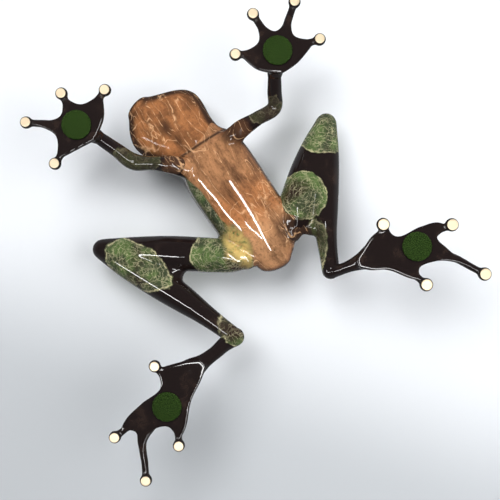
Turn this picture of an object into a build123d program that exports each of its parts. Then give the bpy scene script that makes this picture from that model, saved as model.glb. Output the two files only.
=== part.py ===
from build123d import *
import os
from math import cos, radians, sin

# A bronze tree frog that stands on four felt pads and on the ground facets of its toes.
# Millimetres. +Z is up, the frog faces -Y and its left side is +X. The spine lies over x = 0 while
# the pieces are made, and the finished frog is then centred over the origin.

RIGHT = -1
LEFT = 1

# Felt pads
pad_radius = 6.35
pad_thickness = 1.0

# Soles, toes and the balls at their tips
sole_thickness = 2.4
toe_radius = 1.65
toe_root_radius = 1.25
toe_root_height = 3.0
ball_radius = 2.75
left_foot_ball_radius = 3.0
ball_height = 1.9
ankle_height = 3.5
ankle_radius = 2.3

# Body shell
bronze_wall = 3.6
neck_wall = 4.2
neck_y = -51.7
neck_x = -2.0
neck_half_width = 13.5
neck_low = 14.5
neck_high = 31.0
torso_length = 66.5
torso_half_width = 16.4
belly_height = 8.0
back_height = 33.0

# Head
head_length = 35.5
head_half_width = 19.0
head_low = 13.5
head_high = 35.0
head_turn = 18.0

# Eyes: a cabochon on a short shank, in a flat bottomed socket in a raised mound
eye_radius = 4.6
eye_dome = 3.4
eye_shank = 2.6
mound_radius = 6.4
mound_drop = 4.2
eye_tilt = 38.0

# Spigots that locate the castings in each other
spigot_clearance = 0.05
shoulder_spigot_radius = 1.8
shoulder_spigot_length = 11.0
hip_spigot_radius = 2.6
hip_spigot_length = 13.0
neck_spigot_radius = 5.0
neck_spigot_length = 9.0

# Arms: height of each joint and the radius of the arm there
shoulder_height = 16.5
shoulder_radius = 4.3
armpit_height = 12.0
elbow_height = 16.0
wrist_height = 7.0
wrist_radius = 2.5
right_shoulder_run = 11.7
right_upper_arm_run = 16.7
right_elbow_radius = 4.0
right_forearm_run = 16.8
left_armpit_run = 9.0
left_upper_arm_run = 19.5
left_elbow_radius = 3.3
left_forearm_run = 11.0
palm_run = 9.6

# Legs
hip_height = 17.0
hip_radius = 7.6
knee_height = 25.0
knee_radius = 5.4
heel_height = 11.0
heel_radius = 4.3
right_thigh_radius = 7.8
right_thigh_run = 67.2
right_shin_radius = 7.3
right_shin_run = 70.7
right_tarsus_run = 40.8
left_thigh_radius = 8.8
left_thigh_run = 52.8
left_shin_radius = 7.3
left_shin_run = 65.9
left_tarsus_run = 37.4
tarsus_radius = 2.8

# How far a sole reaches from its pad's centre to its longest toe
right_hand_reach = 21.8
left_hand_reach = 22.3
right_foot_reach = 33.1
left_foot_reach = 31.6

# One overrun for all cuts
overrun = 2.0

# Headings in degrees, from straight outwards towards the head
right_shoulder_heading = 43.3
right_upper_arm_heading = 38.9
right_forearm_heading = 67.0
right_palm_heading = 62.0
left_shoulder_heading = 20.0
left_upper_arm_heading = 0.0
left_forearm_heading = 55.0
left_palm_heading = 53.0
right_thigh_heading = 36.0
right_shin_heading = 244.9
right_tarsus_heading = -11.9
left_thigh_heading = 38.0
left_shin_heading = 237.4
left_tarsus_heading = -16.6

# Torso sections from the neck to the rump: place along the length, half width, sag of the belly
# and rise of the back between the axis and their largest, and the sideways shift of the section
torso_axis_share = 0.5
torso_shares = [
    (0.13, 0.955, 0.93, 0.94, 0.0),
    (0.27, 1.0, 1.0, 1.0, 0.0),
    (0.42, 1.0, 1.0, 1.0, 0.0),
    (0.57, 1.0, 1.0, 0.93, 0.0),
    (0.71, 0.97, 0.94, 0.82, 0.0),
    (0.83, 0.85, 0.79, 0.67, 0.0),
    (0.92, 0.62, 0.57, 0.47, 0.0),
    (0.98, 0.32, 0.30, 0.24, 0.0),
]

# Where the limbs leave the torso, sideways and along its length, and where the eyes sit on the head,
# sideways and forward
right_shoulder_shares = (0.549, 0.131)
left_shoulder_shares = (0.488, 0.093)
hip_shares = (0.64, 0.838)
eye_shares = (0.64, 0.475)

# Head sections from the neck to the snout: place along the length, half width, drop, rise
head_axis_share = 0.46
head_turned_share = 0.39
head_shares = [
    (0.065, 0.725, 0.82, 0.84),
    (0.13, 0.74, 0.86, 0.86),
    (0.26, 0.84, 0.87, 0.90),
    (0.39, 0.95, 0.93, 0.94),
    (0.52, 1.0, 1.0, 0.96),
    (0.64, 0.94, 1.0, 0.88),
    (0.75, 0.77, 0.89, 0.74),
    (0.85, 0.57, 0.72, 0.57),
    (0.93, 0.38, 0.50, 0.39),
    (0.985, 0.18, 0.24, 0.18),
]

# Share of a limb's length, and radius as a share of its fullest
thigh_shares = [(0.16, 1.02), (0.36, 1.04), (0.58, 1.0), (0.8, 0.84)]
shin_shares = [(0.18, 0.93), (0.38, 1.0), (0.58, 0.95), (0.76, 0.76), (0.9, 0.6)]
tarsus_shares = [(0.25, 1.08), (0.5, 0.93), (0.75, 0.88)]
upper_arm_shares = [(0.5, 0.8)]
forearm_shares = [(0.5, 0.8)]

# Rounded end of a limb: place past the joint and radius, as shares of the joint's radius
cap_shares = [(0.5, 0.86), (0.86, 0.48)]

# How much thinner a toe is where it runs into its ball, and the spigots inside the joints
toe_taper_share = 0.94
joint_spigot_radius_share = 0.42
joint_spigot_length_share = 0.6

# How far along a toe the web's corner runs, inside the ridge of the toe
web_tip_share = 0.75

# Toes: start of the ridge, its knuckle and the tip, forward and across as shares of the reach
right_hand_toe_shares = [
    [(0.0, -0.30), (0.0, -0.56), (0.009, -0.872)],
    [(0.28, -0.14), (0.58, -0.283), (0.899, -0.438)],
    [(0.25, 0.17), (0.40, 0.28), (0.568, 0.397)],
    [(-0.05, 0.31), (-0.10, 0.58), (-0.148, 0.873)],
]
left_hand_toe_shares = [
    [(0.10, -0.29), (0.185, -0.53), (0.279, -0.796)],
    [(0.30, -0.08), (0.62, -0.168), (0.965, -0.262)],
    [(0.25, 0.19), (0.45, 0.347), (0.673, 0.519)],
    [(-0.05, 0.31), (-0.085, 0.55), (-0.126, 0.802)],
]
right_foot_toe_shares = [
    [(-0.02, -0.22), (0.12, -0.32), (0.253, -0.468)],
    [(0.20, -0.05), (0.55, -0.105), (0.874, -0.486)],
    [(0.20, 0.04), (0.48, 0.155), (0.764, 0.196)],
    [(-0.20, 0.17), (-0.24, 0.31), (-0.252, 0.483)],
]
left_foot_toe_shares = [
    [(-0.40, 0.09), (-0.21, -0.24), (-0.020, -0.535)],
    [(0.18, -0.11), (0.46, -0.30), (0.783, -0.621)],
    [(0.21, 0.04), (0.37, 0.13), (0.544, 0.147)],
    [(-0.22, 0.12), (-0.33, 0.26), (-0.352, 0.415)],
]

# Edge of the web, as shares of the reach forward and across: from the root of the sole to the
# first toe, between the toes, and from the last toe back to the root
right_hand_web_shares = [
    [(-0.44, -0.11), (-0.307, -0.31)],
    [(0.25, -0.395)],
    [(0.375, 0.03)],
    [(0.16, 0.385)],
    [(-0.403, 0.34), (-0.44, 0.11)],
]
left_hand_web_shares = [
    [(-0.43, -0.11), (-0.249, -0.351)],
    [(0.322, -0.30)],
    [(0.378, 0.075)],
    [(0.151, 0.379)],
    [(-0.392, 0.335), (-0.43, 0.11)],
]
right_foot_web_shares = [
    [(-0.60, -0.05), (-0.263, -0.175), (0.06, -0.384)],
    [(0.181, -0.196), (0.347, -0.091), (0.592, -0.166)],
    [(0.604, -0.06), (0.526, 0.048), (0.58, 0.139)],
    [(0.544, 0.251), (0.218, 0.26), (-0.112, 0.236)],
    [(-0.423, 0.344), (-0.60, 0.24)],
]
left_foot_web_shares = [
    [(-0.70, -0.13), (-0.494, -0.184), (-0.174, -0.411)],
    [(-0.054, -0.304), (0.177, -0.266), (0.519, -0.399)],
    [(0.389, -0.133), (0.304, 0.047), (0.411, 0.114)],
    [(0.38, 0.231), (0.133, 0.244), (-0.237, 0.218)],
    [(-0.538, 0.307), (-0.70, 0.18)],
]


def direction(side, heading):
    """Unit step on the ground for a heading from outwards towards the head, on one side."""
    turn = radians(heading)
    return Vector(side * cos(turn), -sin(turn), 0)


def reach(start, side, heading, run, height):
    """Point at the end of a run over the ground from start, at its own height."""
    step = direction(side, heading) * run
    return Vector(start.X + step.X, start.Y + step.Y, height)


def between(start, end, share):
    """Point at a share of the way from start to end."""
    return start + (end - start) * share


def section_plane(point, along):
    """Plane across a limb, with its x axis level."""
    level = Vector(0, 0, 1).cross(along)
    return Plane(origin=point, x_dir=level, z_dir=along)


def end_cap(point, beyond, radius):
    """Points and radii that round off a tube past its end."""
    outwards = (point - beyond).normalized()
    points = [point + outwards * (radius * place) for place, size in cap_shares]
    radii = [radius * size for place, size in cap_shares]
    return points, radii


def round_tube(points, radii, round_start=False, round_end=False):
    """Smooth solid through circles across a path of points, rounded off where asked."""
    if round_start:
        cap_points, cap_radii = end_cap(points[0], points[1], radii[0])
        points = cap_points[::-1] + points
        radii = cap_radii[::-1] + radii
    if round_end:
        cap_points, cap_radii = end_cap(points[-1], points[-2], radii[-1])
        points = points + cap_points
        radii = radii + cap_radii
    sections = []
    last = len(points) - 1
    for i in range(len(points)):
        along = points[min(i + 1, last)] - points[max(i - 1, 0)]
        sections.append(section_plane(points[i], along) * Circle(radii[i]))
    return loft(sections)


def limb_stations(start, end, full_radius, shares):
    """Points and radii along one straight run of a limb."""
    points = [between(start, end, place) for place, size in shares]
    radii = [full_radius * size for place, size in shares]
    return points, radii


def parting_plane(joint, before, after):
    """Plane that parts two castings at a joint, facing the piece that holds before."""
    towards = (before - joint).normalized() - (after - joint).normalized()
    return Plane(origin=joint, z_dir=towards)


def keep_side(solid, plane, keep):
    """The part of a solid on one side of a parting plane."""
    kept = split(solid, bisect_by=plane, keep=keep)
    return max(kept.solids(), key=lambda piece: piece.volume)


def joint_spigot(plane, radius, clearance):
    """Locating spigot from the piece before a joint into the piece after it, or its socket."""
    length = radius * joint_spigot_length_share
    thickness = radius * joint_spigot_radius_share + clearance
    inside = length if clearance == 0 else 0
    body = Cylinder(thickness, length + clearance + inside, align=(Align.CENTER, Align.CENTER, Align.MAX))
    return plane * Pos(0, 0, inside) * body


def pin_between(start, end, radius):
    """Straight round pin from start to end."""
    along = end - start
    pin = Cylinder(radius, along.length, align=(Align.CENTER, Align.CENTER, Align.MIN))
    return section_plane(start, along) * pin


# Torso


def torso_section(y, x, half_width, low, high, wall):
    """Oval across the spine, less the wall all round."""
    place = Plane(origin=(x, y, (low + high) / 2), x_dir=(1, 0, 0), z_dir=(0, 1, 0))
    return place * Ellipse(half_width - wall, (high - low) / 2 - wall)


def neck_section(facing):
    """Oval face where the torso and the head meet, looking back or forward along the spine."""
    centre = Vector(neck_x, neck_y, (neck_low + neck_high) / 2)
    place = Plane(origin=centre, x_dir=(facing, 0, 0), z_dir=(0, facing, 0))
    return place * Ellipse(neck_half_width, (neck_high - neck_low) / 2)


def torso_place(side, shares, height):
    """Point in the torso where a limb starts, by its shares of the half width and the length."""
    sideways, along = shares
    return Vector(side * torso_half_width * sideways, neck_y + torso_length * along, height)


def torso_body(wall):
    """Torso as one smooth form, or its cavity when a wall is taken off."""
    axis = belly_height + (back_height - belly_height) * torso_axis_share
    sections = []
    if wall == 0:
        sections.append(neck_section(1))
    for place, width, sag, rise, shift in torso_shares:
        half_width = torso_half_width * width
        low = axis - (axis - belly_height) * sag
        high = axis + (back_height - axis) * rise
        if half_width > wall + wall and high - low > (wall + wall) * 2:
            y = neck_y + torso_length * place
            sections.append(torso_section(y, shift, half_width, low, high, wall))
        elif wall == 0:
            y = neck_y + torso_length * place
            sections.append(torso_section(y, shift, half_width, low, high, 0))
    return loft(sections)


# Head


def head_place(forward, across, height):
    """Point in the head's own directions: forward to the snout, across to the frog's left."""
    turn = radians(head_turn)
    x = neck_x - forward * sin(turn) + across * cos(turn)
    y = neck_y - forward * cos(turn) - across * sin(turn)
    return Vector(x, y, height)


def head_section_plane(place, height):
    """Plane across the head, turned step by step from the neck's face to the head's own direction."""
    turn = radians(head_turn * min(1, place / head_turned_share))
    centre = head_place(head_length * place, 0, height)
    return Plane(origin=centre, x_dir=(-cos(turn), sin(turn), 0), z_dir=(-sin(turn), -cos(turn), 0))


def head_body(wall):
    """Head as one smooth form, or its cavity when a wall is taken off."""
    axis = head_low + (head_high - head_low) * head_axis_share
    sections = []
    if wall == 0:
        sections.append(neck_section(-1))
    for place, width, drop, rise in head_shares:
        half_width = head_half_width * width
        low = axis - (axis - head_low) * drop
        high = axis + (head_high - axis) * rise
        if wall == 0 or (half_width > wall * 4 and high - low > wall * 4):
            oval = Ellipse(half_width - wall, (high - low) / 2 - wall)
            sections.append(head_section_plane(place, (low + high) / 2) * oval)
    return loft(sections)


def mound_centre(side):
    """Centre of the round mound that carries an eye."""
    sideways, forward = eye_shares
    return head_place(head_length * forward, side * head_half_width * sideways, head_high - mound_drop)


def eye_plane(side):
    """Seat of an eye: outwards of the mound's centre, tilted to its own side."""
    centre = mound_centre(side)
    across = head_place(0, side, 0) - head_place(0, 0, 0)
    lean = radians(eye_tilt)
    facing = across * sin(lean) + Vector(0, 0, 1) * cos(lean)
    return Plane(origin=centre + facing * (mound_radius - eye_shank), z_dir=facing)


def eye(side):
    """Glass cabochon with a short round shank and a flat back."""
    shank = Cylinder(eye_radius, eye_shank, align=(Align.CENTER, Align.CENTER, Align.MIN))
    ball_radius_of_dome = (eye_radius**2 + eye_dome**2) / (2 * eye_dome)
    dome = Pos(0, 0, eye_shank + eye_dome - ball_radius_of_dome) * Sphere(ball_radius_of_dome)
    dome = split(dome, bisect_by=Plane.XY.offset(eye_shank), keep=Keep.TOP)
    return eye_plane(side) * (shank + dome)


def eye_socket(side):
    """Round socket that takes the shank of an eye."""
    depth = eye_shank + overrun
    socket = Cylinder(eye_radius + spigot_clearance, depth, align=(Align.CENTER, Align.CENTER, Align.MIN))
    return eye_plane(side) * socket


def head_outside():
    """Head with the mounds that carry the eyes, still solid."""
    solid = head_body(0)
    for side in (RIGHT, LEFT):
        solid = solid + Pos(mound_centre(side)) * Sphere(mound_radius)
    return solid


def neck_spigot(clearance):
    """Round spigot of the head through the torso's neck wall."""
    height = (neck_low + neck_high) / 2
    start = Vector(neck_x, neck_y - neck_wall, height)
    end = Vector(neck_x, neck_y + neck_spigot_length + clearance, height)
    if clearance > 0:
        start = Vector(neck_x, neck_y - overrun, height)
    return pin_between(start, end, neck_spigot_radius + clearance)


# Arms


def arm(shoulder, armpit, elbow, wrist, elbow_radius):
    """Arm from inside the shoulder over the elbow to the wrist, before it is fitted."""
    points = [shoulder, between(shoulder, armpit, 0.5), armpit]
    radii = [shoulder_radius, shoulder_radius, shoulder_radius]
    for place, size in upper_arm_shares:
        points.append(between(armpit, elbow, place))
        radii.append((shoulder_radius + elbow_radius) / 2 * size)
    points.append(elbow)
    radii.append(elbow_radius)
    for place, size in forearm_shares:
        points.append(between(elbow, wrist, place))
        radii.append((elbow_radius + wrist_radius) / 2 * size)
    points.append(wrist)
    radii.append(wrist_radius)
    return round_tube(points, radii, round_end=True)


# Legs


def thigh(hip, knee, full_radius):
    """Thigh from its round end in the hip to the knee, before it is fitted."""
    points, radii = limb_stations(hip, knee, full_radius, thigh_shares)
    points = [hip] + points + [knee]
    radii = [hip_radius] + radii + [knee_radius]
    return round_tube(points, radii, round_start=True, round_end=True)


def shin(knee, heel, full_radius):
    """Shin from the knee to the heel, before it is fitted."""
    points, radii = limb_stations(knee, heel, full_radius, shin_shares)
    points = [knee] + points + [heel]
    radii = [knee_radius] + radii + [heel_radius]
    return round_tube(points, radii, round_start=True, round_end=True)


# Hands and feet


def sole_point(centre, side, heading, forward, across, height):
    """Point on a sole, from its pad's centre, forward and across towards the head."""
    step = direction(side, heading) * forward + direction(side, heading + 90) * across
    return Vector(centre.X + step.X, centre.Y + step.Y, height)


def toe_points(centre, side, heading, sole_reach, toe_shares):
    """Start, knuckle and tip of each toe, each at its height."""
    heights = (toe_root_height, ball_height, ball_height)
    toes = []
    for shares in toe_shares:
        points = []
        for (forward, across), height in zip(shares, heights):
            place = (forward * sole_reach, across * sole_reach, height)
            points.append(sole_point(centre, side, heading, *place))
        toes.append(points)
    return toes


def web(centre, side, heading, sole_reach, toe_shares, web_shares):
    """Flat web between the toes, whose edge swings in from each toe to the next."""
    tips = []
    for start, knuckle, tip in toe_points(centre, side, heading, sole_reach, toe_shares):
        corner = between(knuckle, tip, web_tip_share)
        tips.append(Vector(corner.X, corner.Y, pad_thickness))
    gaps = []
    for gap in web_shares:
        edge = []
        for forward, across in gap:
            place = (forward * sole_reach, across * sole_reach, pad_thickness)
            edge.append(sole_point(centre, side, heading, *place))
        gaps.append(edge)
    runs = [Spline(*gaps[0], tips[0])]
    for i in range(1, len(tips)):
        runs.append(Spline(tips[i - 1], *gaps[i], tips[i]))
    runs.append(Spline(tips[-1], *gaps[-1]))
    runs.append(Line(gaps[-1][-1], gaps[0][0]))
    outline = make_face(Wire(runs))
    return extrude(outline, amount=sole_thickness, dir=(0, 0, 1))


def toes_and_balls(centre, side, heading, sole_reach, toe_shares, tip_radius):
    """Ridges of the toes and the balls at their tips, one after the other."""
    pieces = []
    for start, knuckle, tip in toe_points(centre, side, heading, sole_reach, toe_shares):
        radii = [toe_root_radius, toe_radius, toe_radius * toe_taper_share]
        pieces.append(round_tube([start, knuckle, tip], radii))
        pieces.append(Pos(tip) * Sphere(tip_radius))
    return pieces


def ground_flat(solid, centre):
    """Cut a sole level with the ground, and clear of its pad."""
    solid = split(solid, bisect_by=Plane.XY, keep=Keep.TOP)
    pad_room = Cylinder(pad_radius, pad_thickness, align=(Align.CENTER, Align.CENTER, Align.MIN))
    return solid - Pos(centre.X, centre.Y, 0) * pad_room


def hand(wrist, centre, side, heading, sole_reach, toe_shares, web_shares):
    """Webbed hand with its palm, from the wrist's ball."""
    palm_end = Vector(centre.X, centre.Y, ankle_height)
    radii = [wrist_radius, (wrist_radius + ankle_radius) / 2, ankle_radius]
    palm = round_tube([wrist, between(wrist, palm_end, 0.5), palm_end], radii, round_start=True)
    pieces = toes_and_balls(centre, side, heading, sole_reach, toe_shares, ball_radius)
    pieces.append(palm)
    return ground_flat(web(centre, side, heading, sole_reach, toe_shares, web_shares) + pieces, centre)


def foot(heel, centre, side, heading, sole_reach, toe_shares, web_shares, tip_radius):
    """Webbed foot with its long tarsus, from the heel's ball."""
    end = Vector(centre.X, centre.Y, ankle_height)
    points, radii = limb_stations(heel, end, tarsus_radius, tarsus_shares)
    points = [heel] + points + [end]
    radii = [heel_radius] + radii + [ankle_radius]
    pieces = toes_and_balls(centre, side, heading, sole_reach, toe_shares, tip_radius)
    pieces.append(round_tube(points, radii, round_start=True))
    return ground_flat(web(centre, side, heading, sole_reach, toe_shares, web_shares) + pieces, centre)


def felt_pad(centre):
    """Felt disc glued under a sole."""
    disc = Cylinder(pad_radius, pad_thickness, align=(Align.CENTER, Align.CENTER, Align.MIN))
    return Pos(centre.X, centre.Y, 0) * disc


# Skeleton

right_shoulder = torso_place(RIGHT, right_shoulder_shares, shoulder_height)
right_armpit = reach(right_shoulder, RIGHT, right_shoulder_heading, right_shoulder_run, armpit_height)
right_elbow = reach(right_armpit, RIGHT, right_upper_arm_heading, right_upper_arm_run, elbow_height)
right_wrist = reach(right_elbow, RIGHT, right_forearm_heading, right_forearm_run, wrist_height)
right_palm = reach(right_wrist, RIGHT, right_palm_heading, palm_run, 0)
left_shoulder = torso_place(LEFT, left_shoulder_shares, shoulder_height)
left_armpit = reach(left_shoulder, LEFT, left_shoulder_heading, left_armpit_run, armpit_height)
left_elbow = reach(left_armpit, LEFT, left_upper_arm_heading, left_upper_arm_run, elbow_height)
left_wrist = reach(left_elbow, LEFT, left_forearm_heading, left_forearm_run, wrist_height)
left_palm = reach(left_wrist, LEFT, left_palm_heading, palm_run, 0)

right_hip = torso_place(RIGHT, hip_shares, hip_height)
right_knee = reach(right_hip, RIGHT, right_thigh_heading, right_thigh_run, knee_height)
right_heel = reach(right_knee, RIGHT, right_shin_heading, right_shin_run, heel_height)
right_sole = reach(right_heel, RIGHT, right_tarsus_heading, right_tarsus_run, 0)
left_hip = torso_place(LEFT, hip_shares, hip_height)
left_knee = reach(left_hip, LEFT, left_thigh_heading, left_thigh_run, knee_height)
left_heel = reach(left_knee, LEFT, left_shin_heading, left_shin_run, heel_height)
left_sole = reach(left_heel, LEFT, left_tarsus_heading, left_tarsus_run, 0)

# Outside forms before fitting

torso_form = torso_body(0)
head_form = head_outside()
right_arm_form = arm(right_shoulder, right_armpit, right_elbow, right_wrist, right_elbow_radius)
left_arm_form = arm(left_shoulder, left_armpit, left_elbow, left_wrist, left_elbow_radius)
right_hand_form = hand(
    right_wrist,
    right_palm,
    RIGHT,
    right_palm_heading,
    right_hand_reach,
    right_hand_toe_shares,
    right_hand_web_shares,
)
left_hand_form = hand(
    left_wrist,
    left_palm,
    LEFT,
    left_palm_heading,
    left_hand_reach,
    left_hand_toe_shares,
    left_hand_web_shares,
)
right_foot_form = foot(
    right_heel,
    right_sole,
    RIGHT,
    right_tarsus_heading,
    right_foot_reach,
    right_foot_toe_shares,
    right_foot_web_shares,
    ball_radius,
)
left_foot_form = foot(
    left_heel,
    left_sole,
    LEFT,
    left_tarsus_heading,
    left_foot_reach,
    left_foot_toe_shares,
    left_foot_web_shares,
    left_foot_ball_radius,
)

nodes = {}


def fit_root(form, root, along_to, spigot_radius, spigot_length):
    """Limb coped to the torso, with a spigot from its root; returns the limb and its socket."""
    along = (along_to - root).normalized()
    coped = form - torso_form
    coped = max(coped.solids(), key=lambda piece: piece.volume)
    limb = coped + pin_between(root, root + along * spigot_length, spigot_radius)
    socket = pin_between(
        root - along * spigot_clearance, root + along * spigot_length, spigot_radius + spigot_clearance
    )
    return limb, socket


def fit_pair(names, forms, joint, bend, radius):
    """Part two castings at a joint, between the points before and after it, with a spigot of the first
    in a socket of the second."""
    before, after = bend
    plane = parting_plane(joint, before, after)
    first = keep_side(forms[0], plane, Keep.TOP) + joint_spigot(plane, radius, 0)
    second = keep_side(forms[1], plane, Keep.BOTTOM) - joint_spigot(plane, radius, spigot_clearance)
    nodes[names[0]] = first
    nodes[names[1]] = second


right_arm, right_arm_socket = fit_root(
    right_arm_form, right_shoulder, right_armpit, shoulder_spigot_radius, shoulder_spigot_length
)
left_arm, left_arm_socket = fit_root(
    left_arm_form, left_shoulder, left_armpit, shoulder_spigot_radius, shoulder_spigot_length
)
right_thigh_form = thigh(right_hip, right_knee, right_thigh_radius)
left_thigh_form = thigh(left_hip, left_knee, left_thigh_radius)
right_thigh, right_hip_socket = fit_root(
    right_thigh_form, right_hip, right_knee, hip_spigot_radius, hip_spigot_length
)
left_thigh, left_hip_socket = fit_root(
    left_thigh_form, left_hip, left_knee, hip_spigot_radius, hip_spigot_length
)
right_shin = shin(right_knee, right_heel, right_shin_radius)
left_shin = shin(left_knee, left_heel, left_shin_radius)

right_bend = (right_elbow, right_palm)
left_bend = (left_elbow, left_palm)
fit_pair(("right_arm", "right_hand"), (right_arm, right_hand_form), right_wrist, right_bend, wrist_radius)
fit_pair(("left_arm", "left_hand"), (left_arm, left_hand_form), left_wrist, left_bend, wrist_radius)

right_bend = (right_hip, right_heel)
left_bend = (left_hip, left_heel)
fit_pair(("right_thigh", "right_shin"), (right_thigh, right_shin), right_knee, right_bend, knee_radius)
fit_pair(("left_thigh", "left_shin"), (left_thigh, left_shin), left_knee, left_bend, knee_radius)

right_shin = nodes["right_shin"]
left_shin = nodes["left_shin"]
right_bend = (right_knee, right_sole)
left_bend = (left_knee, left_sole)
fit_pair(("right_shin", "right_foot"), (right_shin, right_foot_form), right_heel, right_bend, heel_radius)
fit_pair(("left_shin", "left_foot"), (left_shin, left_foot_form), left_heel, left_bend, heel_radius)

sockets = [right_arm_socket, left_arm_socket, right_hip_socket, left_hip_socket]

torso = torso_form - torso_body(bronze_wall) - neck_spigot(spigot_clearance)
head = head_form - head_body(bronze_wall) + neck_spigot(0)
for socket in sockets:
    torso = torso - socket
for side in (RIGHT, LEFT):
    head = head - eye_socket(side)
nodes["torso"] = torso
nodes["head"] = head
nodes["right_eye"] = eye(RIGHT)
nodes["left_eye"] = eye(LEFT)
nodes["right_hand_pad"] = felt_pad(right_palm)
nodes["left_hand_pad"] = felt_pad(left_palm)
nodes["right_foot_pad"] = felt_pad(right_sole)
nodes["left_foot_pad"] = felt_pad(left_sole)

# Centre the frog over the origin, standing on z = 0, and write one file for each piece

whole = Compound(children=[Compound(solid.solids()) for solid in nodes.values()]).bounding_box()
centre = whole.center()
home = Pos(-centre.X, -centre.Y, -whole.min.Z)
os.makedirs("parts", exist_ok=True)
for name, solid in nodes.items():
    export_step(home * solid, "parts/" + name + ".step")
print("size", whole.size, "moved", -centre.X, -centre.Y, -whole.min.Z)
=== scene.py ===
"""Finished bronze tree frog on felt pads: smooth castings, patina, lacquer, eyes and a plain studio."""

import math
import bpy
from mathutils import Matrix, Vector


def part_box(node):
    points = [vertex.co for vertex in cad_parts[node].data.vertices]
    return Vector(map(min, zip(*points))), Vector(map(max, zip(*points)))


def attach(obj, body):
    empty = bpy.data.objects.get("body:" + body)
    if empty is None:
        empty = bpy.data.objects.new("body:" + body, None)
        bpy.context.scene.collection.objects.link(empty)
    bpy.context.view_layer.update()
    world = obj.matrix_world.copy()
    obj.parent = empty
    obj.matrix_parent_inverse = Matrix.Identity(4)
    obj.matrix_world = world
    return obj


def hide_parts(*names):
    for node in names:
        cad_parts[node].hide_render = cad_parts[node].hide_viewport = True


bl_info = {
    "name": "Bronze tree frog",
    "version": (1, 0, 0),
    "blender": (4, 5, 0),
    "location": "View3D > Sidebar > Frog",
    "description": "Builds the frog's finished castings, felt pads and eyes, and the studio round them",
    "category": "Add Mesh",
}

import bpy
import numpy as np
from mathutils import Matrix, Vector
from mathutils.geometry import tessellate_polygon

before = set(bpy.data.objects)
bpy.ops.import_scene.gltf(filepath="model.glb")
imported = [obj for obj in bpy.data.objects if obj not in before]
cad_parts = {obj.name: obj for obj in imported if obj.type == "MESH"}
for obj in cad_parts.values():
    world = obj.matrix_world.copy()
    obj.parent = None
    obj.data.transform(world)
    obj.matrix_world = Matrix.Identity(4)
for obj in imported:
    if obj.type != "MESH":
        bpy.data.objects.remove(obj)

MM = 0.001
UP = np.array([0.0, 0.0, 1.0])

# Skeleton in millimetres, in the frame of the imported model: +Z up, the frog faces -Y, its left is +X
SPINE_X = 15.04
NECK = np.array([13.04, -33.39, 22.75])
JOINTS = {
    "right": dict(
        shoulder=(6.04, -24.69, 16.5),
        armpit=(-2.47, -32.7, 12.0),
        elbow=(-15.5, -43.2, 16.0),
        wrist=(-22.0, -58.7, 7.0),
        hip=(5.2, 21.3, 17.0),
        knee=(-49.8, -18.6, 25.0),
        heel=(-19.9, 46.8, 11.0),
    ),
    "left": dict(
        shoulder=(23.04, -27.19, 16.5),
        armpit=(31.7, -28.6, 12.0),
        elbow=(50.7, -29.4, 16.0),
        wrist=(56.95, -39.5, 7.0),
        hip=(25.0, 21.8, 17.0),
        knee=(67.5, -11.3, 25.0),
        heel=(31.66, 45.33, 11.0),
    ),
}
SIDE = {"right": -1, "left": 1}
HEADING = {"right_hand": 62.0, "left_hand": 53.0, "right_foot": -11.9, "left_foot": -16.6}
REACH = {"right_hand": 21.8, "left_hand": 22.3, "right_foot": 33.1, "left_foot": 31.6}

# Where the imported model's felt pads lie on the ground
PAD_CENTRES = {limb: np.mean(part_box(limb + "_pad"), axis=0) / MM * [1, 1, 0] for limb in HEADING}

# Toes as shares of the reach, forward and across towards the head: start, knuckle, tip
TOES = {
    "right_hand": [
        [(0.0, -0.30), (0.0, -0.56), (0.009, -0.872)],
        [(0.28, -0.14), (0.58, -0.283), (0.899, -0.438)],
        [(0.25, 0.17), (0.40, 0.28), (0.568, 0.397)],
        [(-0.05, 0.31), (-0.10, 0.58), (-0.148, 0.873)],
    ],
    "left_hand": [
        [(0.10, -0.29), (0.185, -0.53), (0.279, -0.796)],
        [(0.30, -0.08), (0.62, -0.168), (0.965, -0.262)],
        [(0.25, 0.19), (0.45, 0.347), (0.673, 0.519)],
        [(-0.05, 0.31), (-0.085, 0.55), (-0.126, 0.802)],
    ],
    "right_foot": [
        [(-0.02, -0.22), (0.12, -0.32), (0.253, -0.468)],
        [(0.20, -0.05), (0.55, -0.105), (0.874, -0.486)],
        [(0.20, 0.04), (0.48, 0.155), (0.764, 0.196)],
        [(-0.20, 0.17), (-0.24, 0.31), (-0.252, 0.483)],
    ],
    "left_foot": [
        [(-0.40, 0.09), (-0.21, -0.24), (-0.020, -0.535)],
        [(0.18, -0.11), (0.46, -0.30), (0.783, -0.621)],
        [(0.21, 0.04), (0.37, 0.13), (0.544, 0.147)],
        [(-0.22, 0.12), (-0.33, 0.26), (-0.352, 0.415)],
    ],
}
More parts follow.
